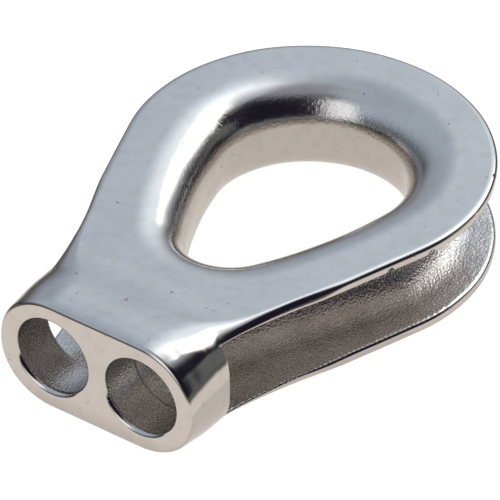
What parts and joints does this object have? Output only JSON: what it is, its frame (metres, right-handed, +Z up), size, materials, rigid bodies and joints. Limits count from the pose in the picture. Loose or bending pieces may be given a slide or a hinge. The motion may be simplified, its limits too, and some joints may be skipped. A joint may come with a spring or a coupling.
{
  "type": "rope thimble eye",
  "caption": "Solid teardrop rope thimble: a collar with bores lets the rope in, and a deep groove carries it round a bell-mouthed eye.",
  "frame": {"origin": "middle of the length and of the width, at the height of the collar's lower face, which the part rests on", "axes": "+X from the collar to the crown of the eye, +Y across the eye, +Z up through the thickness"},
  "size_m": [0.048, 0.033, 0.0111],
  "materials": {
    "polished_casting": "polished cast stainless steel, softly mirrored, with fine casting pits and handling scratches",
    "as_cast_groove": "as-cast stainless steel, dark and grainy"
  },
  "bodies": {
    "root": {"bore_collar": "polished_casting", "upper_cheek": "polished_casting", "lower_cheek": "polished_casting", "eye_saddle": "as_cast_groove", "neck_web": "as_cast_groove"}
  },
  "joints": []
}
